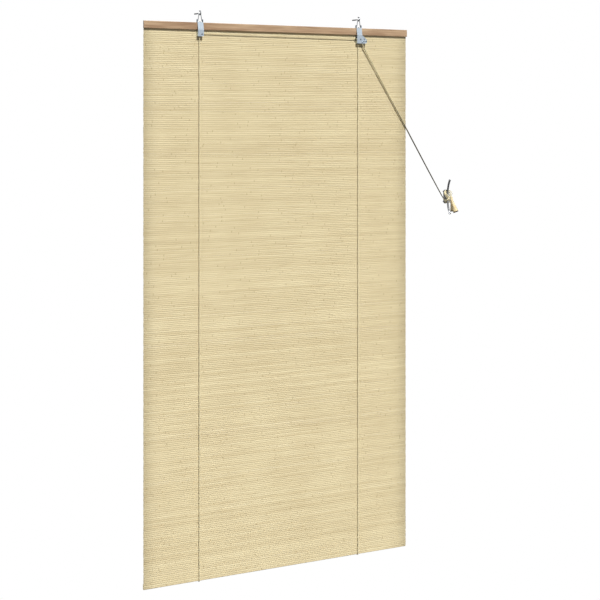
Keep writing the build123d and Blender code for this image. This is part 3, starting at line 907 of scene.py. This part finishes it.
# Strips of oval section, one above the other, each a little bowed and of its own tone
def stripTree():
    tree, given = startTree("bambooStrips", {
        "Count": "Int", "Top": "Vector", "Step": "Vector", "Strip Size": "Vector", "Least Scale": "Vector",
        "Most Scale": "Vector", "Sides": "Int", "Spans": "Int", "Squareness": "Float", "End Trim": "Float",
        "Bow": "Float", "Seed": "Int", "Material": "Material",
    })
    rows = addNode(tree, "GeometryNodeMeshLine", {
        "Count": given["Count"], "Start Location": given["Top"], "Offset": given["Step"],
    }, mode="OFFSET")
    bar = addNode(tree, "GeometryNodeMeshCylinder", {
        "Vertices": given["Sides"], "Side Segments": given["Spans"], "Radius": 0.5, "Depth": 1.0,
    })
    lying = addNode(tree, "GeometryNodeTransform", {
        "Geometry": bar.outputs["Mesh"], "Rotation": (0.0, math.pi / 2, 0.0),
    })
    # How far a point is from the strip's middle line, up or down, is kept for the material.
    position = addNode(tree, "GeometryNodeInputPosition")
    across = addNode(tree, "ShaderNodeSeparateXYZ", {0: position.outputs[0]})
    fromMiddle = addNode(tree, "ShaderNodeMath", {0: across.outputs["Z"]}, operation="ABSOLUTE")
    share = addNode(tree, "ShaderNodeMath", {0: fromMiddle.outputs[0], 1: 2.0}, operation="MULTIPLY")
    edged = addNode(tree, "GeometryNodeStoreNamedAttribute", {
        "Geometry": lying.outputs[0], "Name": "stripEdge", "Value": share.outputs[0],
    }, data_type="FLOAT", domain="POINT")
    # Flatten the faces: |2y| is raised to a power below 1, so the section is fuller than an oval.
    fromCore = addNode(tree, "ShaderNodeMath", {0: across.outputs["Y"]}, operation="ABSOLUTE")
    depth = addNode(tree, "ShaderNodeMath", {0: fromCore.outputs[0], 1: 2.0}, operation="MULTIPLY")
    fuller = addNode(tree, "ShaderNodeMath", {0: depth.outputs[0], 1: given["Squareness"]},
                     operation="POWER")
    face = addNode(tree, "ShaderNodeMath", {0: across.outputs["Y"]}, operation="SIGN")
    outward = addNode(tree, "ShaderNodeMath", {0: fuller.outputs[0], 1: face.outputs[0]},
                      operation="MULTIPLY")
    halved = addNode(tree, "ShaderNodeMath", {0: outward.outputs[0], 1: 0.5}, operation="MULTIPLY")
    section = addNode(tree, "ShaderNodeCombineXYZ", {
        0: across.outputs["X"], 1: halved.outputs[0], 2: across.outputs["Z"],
    })
    fullBar = addNode(tree, "GeometryNodeSetPosition", {
        "Geometry": edged.outputs[0], "Position": section.outputs[0],
    })
    sized = addNode(tree, "GeometryNodeTransform", {
        "Geometry": fullBar.outputs[0], "Scale": given["Strip Size"],
    })
    size = addNode(tree, "FunctionNodeRandomValue", {
        0: given["Least Scale"], 1: given["Most Scale"], "Seed": given["Seed"],
    }, data_type="FLOAT_VECTOR")
    strips = addNode(tree, "GeometryNodeInstanceOnPoints", {
        "Points": rows.outputs[0], "Instance": sized.outputs[0], "Scale": size.outputs[0],
    })
    shift = addNode(tree, "FunctionNodeRandomValue", {
        "Min": -1.0, "Max": 1.0, "Seed": given["Seed"],
    }, data_type="FLOAT")
    slip = addNode(tree, "ShaderNodeMath", {0: shift.outputs["Value"], 1: given["End Trim"]},
                   operation="MULTIPLY")
    slide = addNode(tree, "ShaderNodeCombineXYZ", {0: slip.outputs[0]})
    slid = addNode(tree, "GeometryNodeTranslateInstances", {
        "Instances": strips.outputs[0], "Translation": slide.outputs[0],
    })
    toneSeed = addNode(tree, "ShaderNodeMath", {0: given["Seed"], 1: matSizes["toneSeedStep"]},
                       operation="ADD")
    tone = addNode(tree, "FunctionNodeRandomValue", {"Seed": toneSeed.outputs[0]}, data_type="FLOAT")
    toned = addNode(tree, "GeometryNodeStoreNamedAttribute", {
        "Geometry": slid.outputs[0], "Name": "stripTone", "Value": tone.outputs["Value"],
    }, data_type="FLOAT", domain="INSTANCE")
    real = addNode(tree, "GeometryNodeRealizeInstances", {"Geometry": toned.outputs[0]})
    # Bow each strip by a noise along X, which its tone sets apart from the others'.
    ownTone = addNode(tree, "GeometryNodeInputNamedAttribute", {"Name": "stripTone"}, data_type="FLOAT")
    place = addNode(tree, "ShaderNodeSeparateXYZ", {0: position.outputs[0]})
    lane = addNode(tree, "ShaderNodeMath", {0: ownTone.outputs[0], 1: matSizes["bowGap"]},
                   operation="MULTIPLY")
    spot = addNode(tree, "ShaderNodeCombineXYZ", {0: place.outputs["X"], 1: lane.outputs[0]})
    noise = addNode(tree, "ShaderNodeTexNoise", {
        "Vector": spot.outputs[0], "Scale": matSizes["bowsPerMetre"], "Detail": 1.0,
    })
    centred = addNode(tree, "ShaderNodeVectorMath", {0: noise.outputs["Color"], 1: (0.5, 0.5, 0.5)},
                      operation="SUBTRACT")
    wander = addNode(tree, "ShaderNodeVectorMath", {0: centred.outputs[0], 1: matSizes["bowShares"]},
                     operation="MULTIPLY")
    bowed = addNode(tree, "ShaderNodeVectorMath", {0: wander.outputs[0], "Scale": given["Bow"]},
                    operation="SCALE")
    bent = addNode(tree, "GeometryNodeSetPosition", {
        "Geometry": real.outputs[0], "Offset": bowed.outputs[0],
    })
    smooth = addNode(tree, "GeometryNodeSetShadeSmooth", {"Geometry": bent.outputs[0]})
    finished = addNode(tree, "GeometryNodeSetMaterial", {
        "Geometry": smooth.outputs[0], "Material": given["Material"],
    })
    addNode(tree, "NodeGroupOutput", {0: finished.outputs[0]})
    return tree


# Pairs of warp threads, one in front of each strip and one behind it, that swap between strips
def threadTree():
    tree, given = startTree("warpThreads", {
        "Rows": "Int", "Row Step": "Vector", "Start": "Vector", "Half Depth": "Float", "Columns": "Int",
        "Column Step": "Vector", "Radius": "Float", "Sides": "Int", "Material": "Material",
    })
    columns = addNode(tree, "GeometryNodeMeshLine", {
        "Count": given["Columns"], "Start Location": given["Start"], "Offset": given["Column Step"],
    }, mode="OFFSET")
    section = addNode(tree, "GeometryNodeCurvePrimitiveCircle", {
        "Resolution": given["Sides"], "Radius": given["Radius"],
    })
    joined = addNode(tree, "GeometryNodeJoinGeometry")
    for side in (1.0, -1.0):
        stations = addNode(tree, "GeometryNodeMeshLine", {
            "Count": given["Rows"], "Offset": given["Row Step"],
        }, mode="OFFSET")
        index = addNode(tree, "GeometryNodeInputIndex")
        angle = addNode(tree, "ShaderNodeMath", {0: index.outputs[0], 1: math.pi / 2},
                        operation="MULTIPLY")
        wave = addNode(tree, "ShaderNodeMath", {0: angle.outputs[0]}, operation="SINE")
        swing = addNode(tree, "ShaderNodeMath", {0: wave.outputs[0], 1: given["Half Depth"]},
                        operation="MULTIPLY")
        signed = addNode(tree, "ShaderNodeMath", {0: swing.outputs[0], 1: side}, operation="MULTIPLY")
        apart = addNode(tree, "ShaderNodeMath", {0: given["Radius"], 1: side}, operation="MULTIPLY")
        offset = addNode(tree, "ShaderNodeCombineXYZ", {0: apart.outputs[0], 1: signed.outputs[0]})
        waved = addNode(tree, "GeometryNodeSetPosition", {
            "Geometry": stations.outputs[0], "Offset": offset.outputs[0],
        })
        strand = addNode(tree, "GeometryNodeMeshToCurve", {0: waved.outputs[0]})
        thread = addNode(tree, "GeometryNodeCurveToMesh", {
            "Curve": strand.outputs[0], "Profile Curve": section.outputs[0], "Fill Caps": True,
        })
        tree.links.new(thread.outputs[0], joined.inputs[0])
    placed = addNode(tree, "GeometryNodeInstanceOnPoints", {
        "Points": columns.outputs[0], "Instance": joined.outputs[0],
    })
    real = addNode(tree, "GeometryNodeRealizeInstances", {"Geometry": placed.outputs[0]})
    smooth = addNode(tree, "GeometryNodeSetShadeSmooth", {"Geometry": real.outputs[0]})
    finished = addNode(tree, "GeometryNodeSetMaterial", {
        "Geometry": smooth.outputs[0], "Material": given["Material"],
    })
    addNode(tree, "NodeGroupOutput", {0: finished.outputs[0]})
    return tree


def makeMat():
    low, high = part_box("bamboo_mat")
    middleY = (low[1] + high[1]) / 2
    drop = high[2] - low[2]
    width = high[0] - low[0]
    count = round(drop / matSizes["stripPitch"])
    step = drop / count
    strips = growMesh("bambooStrips", stripTree(), {
        "Count": count,
        "Top": (0.0, middleY, high[2] - step / 2),
        "Step": (0.0, 0.0, -step),
        "Strip Size": (width, matSizes["stripThickness"], matSizes["stripHeight"]),
        "Least Scale": matSizes["leastScale"],
        "Most Scale": matSizes["mostScale"],
        "Sides": matSizes["stripSides"],
        "Squareness": matSizes["stripSquareness"],
        "Spans": matSizes["stripSpans"],
        "End Trim": matSizes["endTrim"],
        "Bow": matSizes["bow"],
        "Seed": matSizes["seed"],
        "Material": bamboo,
    })
    columns = matSizes["threadColumns"]
    span = width - 2 * matSizes["threadInset"]
    threads = growMesh("warpThreads", threadTree(), {
        "Rows": 2 * count + 1,
        "Row Step": (0.0, 0.0, -step / 2),
        "Start": (-span / 2, middleY, high[2]),
        "Half Depth": matSizes["stripThickness"] / 2 + matSizes["threadRadius"],
        "Columns": columns,
        "Column Step": (span / (columns - 1), 0.0, 0.0),
        "Radius": matSizes["threadRadius"],
        "Sides": matSizes["threadSides"],
        "Material": cotton,
    })
    for piece in (strips, threads):
        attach(piece, rootBody)
    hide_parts("bamboo_mat")
    print("mat of", count, "strips")


makeMat()


# Knots behind the brackets

knotSizes = dict(
    strand=0.95 * mm,
    turnRadius=1.15 * mm,
    turnDepth=0.95 * mm,
    lobe=0.55,  # how far each turn leans out, as a share of the radius
    steps=48,
)


# The points of an overhand knot drawn tight, about a cord that runs down through it
def knotPoints(middle):
    s = knotSizes
    points = []
    for step in range(s["steps"] + 1):
        angle = 2 * math.pi * step / s["steps"]
        reach = s["turnRadius"] * (1 + s["lobe"] * math.cos(3 * angle))
        points.append(Vector((
            middle[0] + reach * math.cos(2 * angle),
            middle[1] + reach * math.sin(2 * angle),
            middle[2] + s["turnDepth"] * math.sin(3 * angle),
        )))
    return points


# Both knots are one CAD node, whose box says where they sit: one at its left end and one at its right end.
def makeKnots():
    low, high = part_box("anchor_knots")
    radius = (high[2] - low[2]) / 2
    for name, across in (("leftKnot", low[0] + radius), ("rightKnot", high[0] - radius)):
        middle = (across, (low[1] + high[1]) / 2, (low[2] + high[2]) / 2)
        knot = addObject(name, tubeMesh(name, knotPoints(middle), knotSizes["strand"]))
        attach(knot, rootBody)
        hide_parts("anchor_knots")
    print("knots made")


makeKnots()
